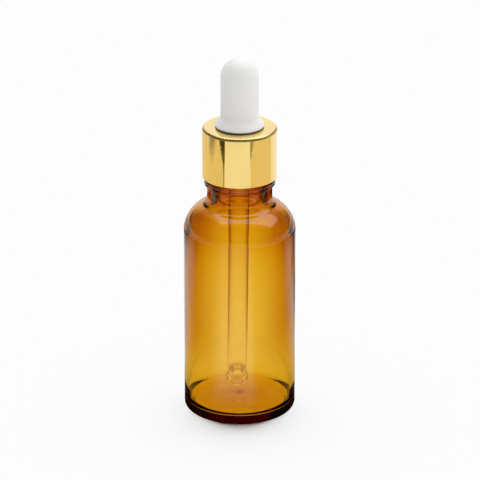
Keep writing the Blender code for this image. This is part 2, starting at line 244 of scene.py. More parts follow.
start = add(tree, "ShaderNodeMapRange", {
    "Value": facing, "From Min": AHEAD_FROM, "From Max": AHEAD_FULL,
    "To Min": RING_NEAR, "To Max": RING_NEAR + RING_STEP},
    interpolation_type=SOFT).outputs[0]
ring = add(tree, "ShaderNodeMath", {0: away, 1: start}, operation="SUBTRACT").outputs[0]
ring = add(tree, "ShaderNodeMapRange", {
    "Value": ring, "From Min": 0.0, "From Max": RING_STEP},
    interpolation_type=SOFT).outputs[0]
within = add(tree, "ShaderNodeMapRange", {
    "Value": away, "From Min": RING_FAR + RING_FADE, "From Max": RING_FAR},
    interpolation_type=SOFT).outputs[0]
ring = add(tree, "ShaderNodeMath", {0: ring, 1: within}, operation="MULTIPLY").outputs[0]
far_level = add(tree, "ShaderNodeMix", {0: front, 2: FAR_BEHIND, 3: FAR_FRONT},
                data_type="FLOAT").outputs[0]
far = add(tree, "ShaderNodeMapRange", {
    "Value": away, "From Min": FAR_START, "From Max": FAR_START + FAR_FADE,
    "To Max": far_level}, interpolation_type=SOFT).outputs[0]
further = add(tree, "ShaderNodeMapRange", {
    "Value": away, "From Min": FURTHER_START, "From Max": FURTHER_START + FURTHER_FADE,
    "To Max": FURTHER_LEVEL}, interpolation_type=SOFT).outputs[0]
open_way = add(tree, "ShaderNodeMix", {0: front, 2: 1.0, 3: limits},
               data_type="FLOAT").outputs[0]
further = add(tree, "ShaderNodeMath", {0: further, 1: open_way},
              operation="MULTIPLY").outputs[0]
for part in (ring, far, further):
    for_shine = add(tree, "ShaderNodeMath", {0: for_shine, 1: part},
                    operation="MAXIMUM").outputs[0]
print("bright ring", round(RING_NEAR / MM), "to", round(RING_FAR / MM), "mm away")

# %% [markdown]
# ## The floor's warm tone
#
# Seen through the body, the middle is a clear honey yellow and both sides are more
# orange. Some of that is the glass, and some is painted light on the paper: an amber
# tint that stands for light which has come through the bottle. The tone spreads with
# the distance behind the bottle, because the round body spreads the view, and only
# rays through the glass see it.

# %% Tone the floor behind the bottle
# Painted light: the amber tint stands for light that passed through the bottle onto the
# paper.
PAPER_TONE, CAUGHT_LIGHT_TONE = "FDFDFD", "D6AC24"
SPREAD_PER_METRE = 5.0
MIDDLE_HALF, SIDES_HALF = 0.002, 0.015
WARM_NEAR, WARM_FULL, WARM_LEAST = 0.015, 0.060, 0.2
WARM_END, WARM_FADE = 0.55, 0.15

spread = add(tree, "ShaderNodeMath", {0: along_y, 1: SPREAD_PER_METRE, 2: 1.0},
             operation="MULTIPLY_ADD").outputs[0]
beside = add(tree, "ShaderNodeMath", {0: along_x, 1: spread},
             operation="DIVIDE").outputs[0]
beside = add(tree, "ShaderNodeMath", {0: beside}, operation="ABSOLUTE").outputs[0]
warm = add(tree, "ShaderNodeMapRange", {
    "Value": beside, "From Min": MIDDLE_HALF, "From Max": SIDES_HALF},
    interpolation_type=SOFT).outputs[0]
near = add(tree, "ShaderNodeMapRange", {
    "Value": along_y, "From Min": WARM_NEAR, "From Max": WARM_FULL, "To Min": WARM_LEAST},
    interpolation_type=SOFT).outputs[0]
ending = add(tree, "ShaderNodeMapRange", {
    "Value": away, "From Min": WARM_END, "From Max": WARM_END - WARM_FADE},
    interpolation_type=SOFT).outputs[0]
for part in (near, ending, through):
    warm = add(tree, "ShaderNodeMath", {0: warm, 1: part}, operation="MULTIPLY").outputs[0]
tone = add(tree, "ShaderNodeMix", {0: warm, 6: linear(PAPER_TONE), 7: linear(CAUGHT_LIGHT_TONE)},
           data_type="RGBA").outputs[2]
print("tone:", PAPER_TONE, "in the middle,", CAUGHT_LIGHT_TONE, "at the sides")

# %% [markdown]
# ## The floor under the foot
#
# The foot ring shuts the light out under itself, and the camera looks at that dark
# ring through the front of the heel. That dark ring is painted shadow in the floor's
# glow. The paper under the push-up still glows, as painted light that stands for the
# light falling on it through the clear bottle. A Greater Than node makes a hard step
# between the two, as the edge of the ring does.

# %% Shade the floor under the foot
# Painted shadow under the foot ring and painted light under the push-up, for rays through
# the glass.
FOOT_INNER, FOOT_OUTER, FOOT_FADE = 0.0142, 0.0162, 0.003
FOOT_SHADE, FOOT_MIDDLE, GLOW_UNDER = 0.01, 0.003, 0.92

least = add(tree, "ShaderNodeMapRange", {
    "Value": along_y, "From Min": -FOOT_MIDDLE, "From Max": FOOT_MIDDLE,
    "To Min": FOOT_SHADE}, interpolation_type=SOFT).outputs[0]
foot = add(tree, "ShaderNodeMapRange", {
    "Value": away, "From Min": FOOT_OUTER, "From Max": FOOT_OUTER + FOOT_FADE,
    "To Min": least}, interpolation_type=SOFT).outputs[0]
outside_ring = add(tree, "ShaderNodeMath", {0: away, 1: FOOT_INNER},
                   operation="GREATER_THAN").outputs[0]
foot = add(tree, "ShaderNodeMix", {0: outside_ring, 2: GLOW_UNDER, 3: foot},
           data_type="FLOAT").outputs[0]
print("under the foot ring", FOOT_SHADE, "and under the push-up", GLOW_UNDER)

# %% [markdown]
# ## The floor beside the neck and the edges
#
# The thick neck bends the view so far that its two sides show the dim room beyond the
# paper, left and right. The edges of the body do the same, more weakly. Both are
# painted shade in the floor's glow, seen only through the glass. The neck's dark places
# are told by how far they lie to the side, and the edges' by their slant. Both start a
# little behind the bottle, so that the other sides of the body stay clear.

# %% Shade the floor for the neck and the edges
# Painted shade: the floor is dimmed here for rays through the glass.
NECK_NEAR, NECK_FAR, NECK_SHADE = 0.085, 0.115, 0.15
NECK_BEHIND, NECK_FADE = 0.330, 0.10
NECK_FROM, NECK_FULL = 0.040, 0.070
EDGE_START, EDGE_FULL, EDGE_SHADE = 0.40, 0.50, 0.60
EDGE_FROM, EDGE_REACHED = 0.030, 0.055

neck = add(tree, "ShaderNodeMath", {0: along_x}, operation="ABSOLUTE").outputs[0]
neck = add(tree, "ShaderNodeMapRange", {
    "Value": neck, "From Min": NECK_NEAR, "From Max": NECK_FAR,
    "To Min": 1.0, "To Max": NECK_SHADE}, interpolation_type=SOFT).outputs[0]
past = add(tree, "ShaderNodeMapRange", {
    "Value": along_y, "From Min": NECK_BEHIND, "From Max": NECK_BEHIND + NECK_FADE},
    interpolation_type=SOFT).outputs[0]
before = add(tree, "ShaderNodeMapRange", {
    "Value": along_y, "From Min": NECK_FULL, "From Max": NECK_FROM},
    interpolation_type=SOFT).outputs[0]
for part in (past, before):
    neck = add(tree, "ShaderNodeMath", {0: neck, 1: part}, operation="MAXIMUM").outputs[0]
edge = add(tree, "ShaderNodeMath", {0: slant}, operation="ABSOLUTE").outputs[0]
edge = add(tree, "ShaderNodeMapRange", {
    "Value": edge, "From Min": EDGE_START, "From Max": EDGE_FULL,
    "To Min": 1.0, "To Max": EDGE_SHADE}, interpolation_type=SOFT).outputs[0]
behind = add(tree, "ShaderNodeMapRange", {
    "Value": along_y, "From Min": EDGE_FROM, "From Max": EDGE_REACHED},
    interpolation_type=SOFT).outputs[0]
edge = add(tree, "ShaderNodeMix", {0: behind, 2: 1.0, 3: edge},
           data_type="FLOAT").outputs[0]
for_glass = foot
for part in (neck, edge):
    for_glass = add(tree, "ShaderNodeMath", {0: for_glass, 1: part},
                    operation="MULTIPLY").outputs[0]
print("shades: neck", NECK_SHADE, "edges", EDGE_SHADE)

# %% [markdown]
# ## Rays that the glass turns back
#
# A ray that enters the body and then meets the floor in front of the bottle was turned
# back by a reflection inside the glass. The eye takes it for a reflection, so it sees
# the floor as shiny surfaces do, but never darker than a set least, which keeps the
# body clear when it is seen from behind.

# %% Shade the floor for rays that were turned back
TURNED_FROM, TURNED_FULL = -0.018, -0.030
TURNED_SIDE, TURNED_AHEAD = -0.25, -0.45
TURNED_FAR, TURNED_NEAR = 0.26, 0.20
TURNED_LEAST = 0.8

ahead = add(tree, "ShaderNodeMapRange", {
    "Value": along_y, "From Min": TURNED_FROM, "From Max": TURNED_FULL},
    interpolation_type=SOFT).outputs[0]
straight = add(tree, "ShaderNodeMapRange", {
    "Value": facing, "From Min": TURNED_SIDE, "From Max": TURNED_AHEAD},
    interpolation_type=SOFT).outputs[0]
close_by = add(tree, "ShaderNodeMapRange", {
    "Value": away, "From Min": TURNED_FAR, "From Max": TURNED_NEAR},
    interpolation_type=SOFT).outputs[0]
for part in (straight, close_by):
    ahead = add(tree, "ShaderNodeMath", {0: ahead, 1: part},
                operation="MULTIPLY").outputs[0]
turned_back = add(tree, "ShaderNodeMath", {0: for_shine, 1: TURNED_LEAST},
                  operation="MAXIMUM").outputs[0]
for_glass = add(tree, "ShaderNodeMix", {0: ahead, 2: for_glass, 3: turned_back},
                data_type="FLOAT").outputs[0]
print("a ray that was turned back sees at least", TURNED_LEAST)

# %% [markdown]
# ## One floor for every kind of ray
#
# Now the strengths come together. Through the glass counts the pattern for the glass,
# in a mirror the one for shiny surfaces, and to the camera the glow is plain white. The
# floor is a wide disc that lies a fiftieth of a millimetre low, so that it never shares
# a plane with the foot ring.

# %% Join the strengths and lay the floor
PAPER_COLOUR = "EEEEEE"
FLOOR_REACH = 4.0
FLOOR_DROP = 0.02

strength = add(tree, "ShaderNodeMix", {0: through, 2: 1.0, 3: for_glass},
               data_type="FLOAT").outputs[0]
strength = add(tree, "ShaderNodeMix", {0: mirror, 2: strength, 3: for_shine},
               data_type="FLOAT").outputs[0]
paper = add(tree, "ShaderNodeBsdfDiffuse", {"Color": linear(PAPER_COLOUR)})
glow = add(tree, "ShaderNodeEmission", {"Color": tone, "Strength": strength})
mixed = add(tree, "ShaderNodeMixShader", {
    0: share, 1: paper.outputs[0], 2: glow.outputs[0]})
tree.links.new(mixed.outputs[0], output.inputs["Surface"])

bm = bmesh.new()
bmesh.ops.create_circle(bm, cap_ends=True, segments=64, radius=FLOOR_REACH)
bmesh.ops.translate(bm, verts=bm.verts, vec=(0, 0, -FLOOR_DROP * MM))
floor_mesh = bpy.data.meshes.new("floor")
bm.to_mesh(floor_mesh)
bm.free()
floor_mesh.materials.append(floor_finish)
floor = bpy.data.objects.new("floor", floor_mesh)
bpy.context.scene.collection.objects.link(floor)
print("floor reaches", FLOOR_REACH, "m")

# %% [markdown]
# ## The room
#
# Glass and metal show the room around them, so the room has to be right. The gold
# collar and the shoulder show a white wall behind, and a dark room in front and at both
# sides, from a little above the table to nearly overhead. A mirror sees the white wall
# turn dim towards both sides. The glass shows it dim at the right and dark at the left,
# and that draws the two edges of the neck. The world gives all this by direction: its
# Generated coordinates are the way that a ray goes, from -1 to 1 along each axis.

# %% Light the walls by direction
ROOM_WHITE = 1.0
ROOM_RIGHT = 0.20
ROOM_DARK = 0.03
ROOM_ASIDE = 0.15
WALL_TURNS, WALL_TURNED = 0.30, 0.55
WALL_FRONT, WALL_BACK = 0.40, 0.70
TABLE_BELOW = -0.02

world = bpy.data.worlds.new("white_room")
bpy.context.scene.world = world
world.use_nodes = True
tree = world.node_tree
tree.nodes.clear()
output = tree.nodes.new("ShaderNodeOutputWorld")
rays = add(tree, "ShaderNodeLightPath")
place = add(tree, "ShaderNodeTexCoord")
way = add(tree, "ShaderNodeSeparateXYZ", {0: place.outputs["Generated"]})
right = add(tree, "ShaderNodeMapRange", {
    "Value": way.outputs["X"], "From Min": WALL_TURNS, "From Max": WALL_TURNED,
    "To Min": ROOM_WHITE, "To Max": ROOM_RIGHT}, interpolation_type=SOFT)
left = add(tree, "ShaderNodeMapRange", {
    "Value": way.outputs["X"], "From Min": -WALL_TURNS, "From Max": -WALL_TURNED,
    "To Min": 1.0, "To Max": ROOM_DARK}, interpolation_type=SOFT)
glass_wall = add(tree, "ShaderNodeMath", {0: right.outputs[0], 1: left.outputs[0]},
                 operation="MULTIPLY")
turn = add(tree, "ShaderNodeMath", {0: way.outputs["X"]}, operation="ABSOLUTE")
mirror_wall = add(tree, "ShaderNodeMapRange", {
    "Value": turn.outputs[0], "From Min": WALL_TURNS, "From Max": WALL_TURNED,
    "To Min": ROOM_WHITE, "To Max": ROOM_ASIDE}, interpolation_type=SOFT)
in_front = add(tree, "ShaderNodeMapRange", {
    "Value": way.outputs["Y"], "From Min": WALL_BACK, "From Max": WALL_FRONT},
    interpolation_type=SOFT)
above_table = add(tree, "ShaderNodeMapRange", {
    "Value": way.outputs["Z"], "From Min": TABLE_BELOW, "From Max": 0.0},
    interpolation_type=SOFT)
dark_part = add(tree, "ShaderNodeMath", {
    0: in_front.outputs[0], 1: above_table.outputs[0]}, operation="MULTIPLY")
print("wall levels:", ROOM_WHITE, ROOM_RIGHT, ROOM_ASIDE, ROOM_DARK)

# %% [markdown]
# ## Who sees the room
#
# One world serves every ray, so Light Path has to tell them apart once more. A row of
# Mix nodes decides: the wall for the glass or for mirrors, the dark part over it, then
# an even light instead for matt surfaces, and plain white for the camera. Each node
# overrules the one before it, so the camera comes last.

# %% Choose what each kind of ray sees of the room
EVEN_LIGHT = 0.66

wall = add(tree, "ShaderNodeMix", {
    0: rays.outputs["Is Transmission Ray"], 2: mirror_wall.outputs[0],
    3: glass_wall.outputs[0]}, data_type="FLOAT")
room = add(tree, "ShaderNodeMix", {
    0: dark_part.outputs[0], 2: wall.outputs[0], 3: ROOM_DARK}, data_type="FLOAT")
even = add(tree, "ShaderNodeMix", {
    0: rays.outputs["Is Diffuse Ray"], 2: room.outputs[0], 3: EVEN_LIGHT},
    data_type="FLOAT")
level = add(tree, "ShaderNodeMix", {
    0: rays.outputs["Is Camera Ray"], 2: even.outputs[0], 3: ROOM_WHITE},
    data_type="FLOAT")
background = add(tree, "ShaderNodeBackground", {
    "Color": linear("FFFFFF"), "Strength": level.outputs[0]})
tree.links.new(background.outputs[0], output.inputs["Surface"])
print("even light for matt surfaces:", EVEN_LIGHT)

# %% [markdown]
# ## The softbox
#
# The pale band across the shoulder of the bottle is one wide softbox overhead. It
# reaches a little to the front, further to the back and furthest to the right. Its
# height doesn't show, only its angles, so every size follows from the height. The band
# fades at its ends, and an area lamp has a hard edge and one brightness all over, so a
# panel with a glowing material is used instead.

# %% Measure the softbox
SOFTBOX_HEIGHT = 0.75
SOFTBOX_FRONT, SOFTBOX_BACK = 0.36, 0.84
SOFTBOX_LEFT, SOFTBOX_RIGHT = 0.8, 1.7
SHOULDER_HEIGHT = 0.062

depth = SOFTBOX_HEIGHT * (SOFTBOX_FRONT + SOFTBOX_BACK)
width = SOFTBOX_HEIGHT * (SOFTBOX_LEFT + SOFTBOX_RIGHT)
top = SHOULDER_HEIGHT + SOFTBOX_HEIGHT
softbox_middle = (SOFTBOX_HEIGHT * (SOFTBOX_RIGHT - SOFTBOX_LEFT) / 2,
                  SOFTBOX_HEIGHT * (SOFTBOX_BACK - SOFTBOX_FRONT) / 2, top)
print("softbox", round(width, 2), "x", round(depth, 2), "m, at", round(top, 2), "m")

# %% [markdown]
# ## The softbox's cloth
#
# The lamp stands behind white cloth, which glows most in front of it. Absolute
# coordinates fold the panel's four quarters into one, so that one ramp across and one
# along fade all four edges. Where the glow fades the cloth turns clear as well, and the
# room shows instead of a black border.

# %% Make the cloth and hang it
SOFTBOX_SHINE = 2.1
SOFTBOX_FADE = 0.30

cloth_finish, tree, output = new_tree("softbox_cloth")
place = add(tree, "ShaderNodeTexCoord")
spot = add(tree, "ShaderNodeVectorMath", {0: place.outputs["Object"]},
           operation="ABSOLUTE")
spot = add(tree, "ShaderNodeSeparateXYZ", {0: spot.outputs[0]})
across = add(tree, "ShaderNodeMapRange", {
    "Value": spot.outputs["X"], "From Min": width / 2,
    "From Max": width / 2 * (1 - SOFTBOX_FADE)}, interpolation_type=SOFT)
along = add(tree, "ShaderNodeMapRange", {
    "Value": spot.outputs["Y"], "From Min": depth / 2,
    "From Max": depth / 2 * (1 - SOFTBOX_FADE)}, interpolation_type=SOFT)
cover = add(tree, "ShaderNodeMath", {0: across.outputs[0], 1: along.outputs[0]},
            operation="MULTIPLY")
level = add(tree, "ShaderNodeMath", {0: cover.outputs[0], 1: SOFTBOX_SHINE},
            operation="MULTIPLY")
cloth = add(tree, "ShaderNodeEmission", {
    "Color": linear("FFFFFF"), "Strength": level.outputs[0]})
nothing = add(tree, "ShaderNodeBsdfTransparent")
cloth = add(tree, "ShaderNodeMixShader", {
    0: cover.outputs[0], 1: nothing.outputs[0], 2: cloth.outputs[0]})
tree.links.new(cloth.outputs[0], output.inputs["Surface"])

bm = bmesh.new()
bmesh.ops.create_grid(bm, x_segments=1, y_segments=1, size=0.5)
bmesh.ops.scale(bm, verts=bm.verts, vec=(width, depth, 1))
cloth_mesh = bpy.data.meshes.new("overhead_softbox")
bm.to_mesh(cloth_mesh)
bm.free()
cloth_mesh.materials.append(cloth_finish)
softbox = bpy.data.objects.new("overhead_softbox", cloth_mesh)
bpy.context.scene.collection.objects.link(softbox)
softbox.location = softbox_middle
softbox.visible_camera = softbox.visible_diffuse = softbox.visible_shadow = False
print("cloth", SOFTBOX_SHINE, "times white in the middle")

# %% [markdown]
# ## Lamps for the matt surfaces
#
# The softbox's reflection is much brighter than what it adds to the matt teat and the
# paper, because the real room is lit from all around. So shiny and clear surfaces see
# the cloth, and matt ones get a weaker lamp of their own, hung further back. A second
# lamp from the right front makes the teat look round.

# %% Hang the two lamps
FILL_PLACE, FILL_WIDTH, FILL_LIGHT = (0.1, 0.50, top), 1.5, 1.25
SIDE_PLACE, SIDE_WIDTH, SIDE_LIGHT = (0.9, -0.7, 0.5), 0.8, 1.0
TEAT_HEIGHT = 0.08


def lamp(name, width, depth, light, place, aim):
    """A rectangular lamp of the given brightness, facing a point, for matt surfaces."""
    data = bpy.data.lights.new(name, "AREA")
    data.shape = "RECTANGLE"
    data.size, data.size_y = width, depth
    data.energy = light * math.pi * width * depth
    made = bpy.data.objects.new(name, data)
    bpy.context.scene.collection.objects.link(made)
    made.location = place
    made.rotation_euler = (Vector(aim) - Vector(place)).to_track_quat("-Z", "Y").to_euler()
    made.visible_glossy = made.visible_transmission = False
    return made


lamp("overhead_fill", FILL_WIDTH, depth, FILL_LIGHT, FILL_PLACE, (0, 0, SHOULDER_HEIGHT))
lamp("right_lamp", SIDE_WIDTH, SIDE_WIDTH, SIDE_LIGHT, SIDE_PLACE, (0, 0, TEAT_HEIGHT))
print("lamps of", FILL_LIGHT, "and", SIDE_LIGHT)

# %% [markdown]
# ## Cards on the table
#
# The collar's wall is a mirror that looks down at the table in front, 20 to 25 cm away.
# It shows brighter paper straight ahead, greyer boards to both sides with straight
# edges, and dark wedges where the boards don't meet. A piece of card in each place
# gives them, and only shiny surfaces see the cards. Each card glows in its own colour
# with no lamp on it, so boards and wedges alike are painted reflections.

# %% Helpers to lay a card
def on_table(angle, distance, height):
    """A place on the table: degrees from straight in front, mm from the bottle's axis."""
    turn = math.radians(angle)
    return Vector((distance * math.sin(turn), -distance * math.cos(turn), height)) * MM


def lay(name, bm, colour, soft=False):
    """Put a card of one colour on the table, for shiny surfaces only."""
    mesh = bpy.data.meshes.new(name)
    bm.to_mesh(mesh)
    bm.free()
    finish, tree, output = new_tree(name + "_card")
    shade = add(tree, "ShaderNodeEmission", {"Color": linear(colour)})
    if soft:
        place = add(tree, "ShaderNodeTexCoord")
        fade = add(tree, "ShaderNodeTexGradient", {0: place.outputs["Object"]},
                   gradient_type="SPHERICAL")
        nothing = add(tree, "ShaderNodeBsdfTransparent")
        shade = add(tree, "ShaderNodeMixShader", {
            0: fade.outputs["Fac"], 1: nothing.outputs[0], 2: shade.outputs[0]})
    tree.links.new(shade.outputs[0], output.inputs["Surface"])
    mesh.materials.append(finish)
    made = bpy.data.objects.new(name, mesh)
    bpy.context.scene.collection.objects.link(made)
    made.visible_camera = made.visible_diffuse = False
    made.visible_transmission = made.visible_shadow = False
    return made


print("straight in front, 200 mm away:", on_table(0, 200, 0))

# %% [markdown]
# ## Two kinds of card
#
# A board or a flag has straight edges, so it is one flat face between a few corners.
# Other shades are out of focus, so their cards are round and fade from the middle: a
# spherical gradient is 1 at the origin and 0 at a distance of 1, and the disc of radius
# 1 is stretched to its real size. The cards lie at three heights, so that none of them
# share a plane.

# %% Helpers for flat and soft cards
ON_TABLE, ON_BOARD, ON_FLAG = 0.2, 0.4, 0.6


def card(name, corners, colour, height):
    """A flat card. corners are (angle from the front, distance in mm)."""
    bm = bmesh.new()
    points = [bm.verts.new(on_table(*corner, height)) for corner in corners]
    edges = [bm.edges.new(pair) for pair in zip(points, points[1:] + points[:1])]
    bmesh.ops.contextual_create(bm, geom=edges)
    return lay(name, bm, colour)


def soft_card(name, angle, distance, reach, width, colour):
    """A round card that fades outwards, stretched along the line from the bottle."""
    bm = bmesh.new()
    bmesh.ops.create_circle(bm, cap_ends=True, segments=48, radius=1.0)
    made = lay(name, bm, colour, soft=True)
    made.location = on_table(angle, distance, ON_FLAG)
    made.rotation_euler.z = math.radians(angle)
    made.scale = (width * MM, reach * MM, 1.0)
    return made


print("cards lie", ON_TABLE, ON_BOARD, "and", ON_FLAG, "mm up")

# %% [markdown]
# ## Where the cards lie
#
# A spot on the collar mirrors one place on the table: the nearer to its foot, the
# nearer the place, and its angle from the front is about twice the spot's own. So each
# corner below was worked out from where an edge shows on the collar. The last two shades
# show on the body's right edge as a dark notch half way up, one also through the glass.

# %% Lay the cards
# Every card glows in its own colour: painted reflections of lit boards and dark flags.
BOARD_COLOUR = "EDDDB6"
BOARD_NEAR, BOARD_FAR = 195, 262

for name, angles in (("left_board", (-44.8, -80, -130, -178)),
                     ("right_board", (32.7, 72, 111))):
    near_edge = [(angle, BOARD_NEAR) for angle in angles]
    far_edge = [(angle, BOARD_FAR) for angle in reversed(angles)]
    card(name, near_edge + far_edge, BOARD_COLOUR, ON_TABLE)
card("left_flag", [(-66, 249), (-60.5, 238), (-45.2, 238), (-44.8, 249), (-44.8, 290),
                   (-70, 290)], "38342A", ON_BOARD)
card("left_flag_tip", [(-60.5, 238), (-55.8, 228), (-51.4, 222), (-50.4, 216),
                       (-50.2, 190), (-48.6, 190), (-48.4, 216), (-45.6, 224),
                       (-45.2, 238)], "645E48", ON_BOARD)
card("right_flag", [(31.6, 226), (31.6, 290), (50, 290), (45, 251), (40, 240), (35, 230)],
     "A69B74", ON_BOARD)
soft_card("left_shade", -94.5, 257, 43, 125, "181610")
soft_card("right_shade", 138, 128, 38, 40, "040404")
right_deep = soft_card("right_deep_shade", 152, 105, 52, 24, "040404")
right_deep.visible_transmission = True
print("boards from", BOARD_NEAR, "to", BOARD_FAR, "mm")

# %% [markdown]
# ## Turned pieces
#
# A bottle, a drawn cup, a teat and a tube are all round, so each is half a section
# spun about the axis. The section is a list of sharp corners: its distance from the
# axis, its height and the radius that rounds it, all in millimetres. A vertex bevel
# rounds a corner exactly: its offset along both edges is the radius times the tangent
# of half the corner's turn. Then the spin operator makes the body. That keeps every
# number one that could be measured on the real thing.

# %% Helpers to round and spin a section
ARC_STEP = math.radians(6)
SPIN_STEPS = 144
WELD_GAP = 0.001


def rounded_outline(corners, closed):
    """A bmesh of the half section, with each corner rounded by its own radius."""
    bm = bmesh.new()
    points = [bm.verts.new((r * MM, 0, z * MM)) for r, z, _ in corners]
    count = len(points)
    for here in range(count if closed else count - 1):
        bm.edges.new((points[here], points[(here + 1) % count]))
    spots = [point.co.copy() for point in points]
    for here in range(count):
        radius = corners[here][2] * MM
        if not radius:
            continue
        before = spots[here] - spots[here - 1]
        after = spots[(here + 1) % count] - spots[here]
        turn = before.angle(after)
        bmesh.ops.bevel(
            bm, geom=[points[here]], offset=radius * math.tan(turn / 2),
            offset_type="OFFSET", segments=max(2, math.ceil(turn / ARC_STEP)),
            profile=0.5, affect="VERTICES", material=-1, clamp_overlap=False)
    bmesh.ops.remove_doubles(bm, verts=bm.verts, dist=WELD_GAP * MM)
    return bm


def turned(corners, closed=False, steps=SPIN_STEPS):
    """Spin the rounded half section into a closed body."""
    bm = rounded_outline(corners, closed)
    bmesh.ops.spin(bm, geom=bm.verts[:] + bm.edges[:], cent=(0, 0, 0), axis=(0, 0, 1),
                   dvec=(0, 0, 0), angle=2 * math.pi, steps=steps, use_merge=True)
    bmesh.ops.remove_doubles(bm, verts=bm.verts, dist=WELD_GAP * MM)
    bmesh.ops.recalc_face_normals(bm, faces=bm.faces)
    return bm


print("a turned piece has", SPIN_STEPS, "steps round")

# %% [markdown]
# ## Smooth shading
#
# A turned piece is made of flat faces, and smooth shading hides that. Left alone it
# would also bend the reflection of a straight wall next to a rounded corner. So a
# Weighted Normal modifier lets the large faces decide, and only edges sharper than 35
# degrees stay edges.

# %% Helpers for a finished piece
SHARP = math.radians(35)


def smooth(made):
    """Shade smoothly, with large faces deciding, so that straight walls mirror straight."""
    made.data.shade_smooth()
    made.data.set_sharp_from_angle(angle=SHARP)
    made.modifiers.new("even_normals", "WEIGHTED_NORMAL").keep_sharp = True
    return made


def piece(name, bm, material=None):
    """Store a bmesh as a smooth-shaded object at the origin."""
    mesh = bpy.data.meshes.new(name)
    bm.to_mesh(mesh)
    bm.free()
    if material:
        mesh.materials.append(material)
    made = bpy.data.objects.new(name, mesh)
    bpy.context.scene.collection.objects.link(made)
    return smooth(made)


print("edges over", round(math.degrees(SHARP)), "degrees stay sharp")

# %% [markdown]
# ## Screw threads
#
# The bottle's thread is a ridge that climbs the finish for a little more than one and
# a half turns and runs out at both ends. The spin operator makes it from one section
# when each step also climbs a little. Then the crest is lowered into the wall towards
# both ends, as a quarter of a sine wave, because a moulded thread has no blunt start.

# %% A helper for the ridge
PITCH = 3.0
THREAD_TURNS = 1.6
THREAD_CLIMB = PITCH * THREAD_TURNS
THREAD_DEPTH = 0.9
THREAD_ROOT, THREAD_CREST = 1.5, 0.66
THREAD_SUNK = 0.35
RUN_OUT = 0.12
CREST_LEAST, CREST_RISE = 0.1, 0.97
THREAD_START = math.radians(4.5)
THREAD_STEPS = 180


def ridge(wall, depth, middle):
    """A helical ridge on a wall, in mm. A negative depth stands into the bore."""
    bm = bmesh.new()
    sunk = wall - math.copysign(THREAD_SUNK, depth)
    low = middle - THREAD_CLIMB / 2
    section = [(sunk, -THREAD_ROOT), (wall + depth, -THREAD_CREST),
               (wall + depth, THREAD_CREST), (sunk, THREAD_ROOT)]
    ring = [bm.verts.new((r * MM, 0, (low + half / 2) * MM)) for r, half in section]
    edges = [bm.edges.new(pair) for pair in zip(ring, ring[1:] + ring[:1])]
    bmesh.ops.rotate(bm, verts=ring, cent=(0, 0, 0),
                     matrix=Matrix.Rotation(THREAD_START, 3, "Z"))
    bmesh.ops.spin(bm, geom=ring + edges, cent=(0, 0, 0), axis=(0, 0, 1),
                   dvec=(0, 0, THREAD_CLIMB / THREAD_STEPS * MM),
                   angle=2 * math.pi * THREAD_TURNS, steps=THREAD_STEPS, use_merge=False)
    for vert in bm.verts:
        reach = vert.co.xy.length
        if abs(reach - (wall + depth) * MM) < 0.01 * MM:
            travel = (vert.co.z / MM - low) / THREAD_CLIMB
            end = max(0.0, min(travel, 1 - travel)) / RUN_OUT
            fullness = math.sin(math.pi / 2 * min(1.0, end))
            wanted = (sunk + CREST_LEAST * (wall - sunk)
                      + (wall + depth - sunk) * CREST_RISE * fullness)
            bmesh.ops.scale(bm, verts=[vert],
                            vec=(wanted * MM / reach, wanted * MM / reach, 1))
    loose = [edge for edge in bm.edges if edge.is_boundary]
    bmesh.ops.edgeloop_fill(bm, edges=loose)
    bmesh.ops.remove_doubles(bm, verts=bm.verts, dist=WELD_GAP / 2 * MM)
    bmesh.ops.recalc_face_normals(bm, faces=bm.faces)
    return bm


print("thread of", THREAD_TURNS, "turns at", PITCH, "mm")

# %% [markdown]
# ## One solid from two
#
# The ridge is joined to its wall with a Boolean, so that the glass stays one solid. Two
# glass bodies inside each other would show a false surface where they meet. The exact
# solver is slower than the fast one, but it copes with a ridge that lies so close along
# a curved wall.

# %% A helper to weld a ridge to its wall
def weld(body, tool):
    """Join a tool's shape to a body, leave one mesh and delete the tool."""
    body.modifiers.clear()
    tool.modifiers.clear()
    union = body.modifiers.new("union", "BOOLEAN")
    union.operation, union.solver, union.object = "UNION", "EXACT", tool
    shaped = body.evaluated_get(bpy.context.evaluated_depsgraph_get())
    mesh = bpy.data.meshes.new_from_object(shaped)
    body.modifiers.clear()
    old, body.data = body.data, mesh
    bpy.data.meshes.remove(old)
    bpy.data.objects.remove(tool)
    return smooth(body)


print("a ridge sinks", THREAD_SUNK, "mm into its wall before the weld")

# %% [markdown]
# ## Amber glass
#
# Amber bottle glass is soda-lime glass coloured in the melt, so the colour belongs to
# the depth of the glass and not to its skin. Thin walls look honey yellow, and the
# thick heel and the neck seen edge on look nearly black. A painted surface colour
# can't do that. The surface here is clear, and the inside absorbs: blue at once, green
# slowly and red hardly at all. Blowing in a mould leaves a skin that is shiny with very
# slight waves some millimetres long.

# %% Make the amber glass
GLASS_IOR = 1.52
WAVE_LENGTH, WAVE_HEIGHT = 7.143, 0.020
GLASS_HAZE = 0.012
AMBER_LEAVES = (0.938, 0.830, 0.0, 1.0)
AMBER_DENSITY = 1650.0

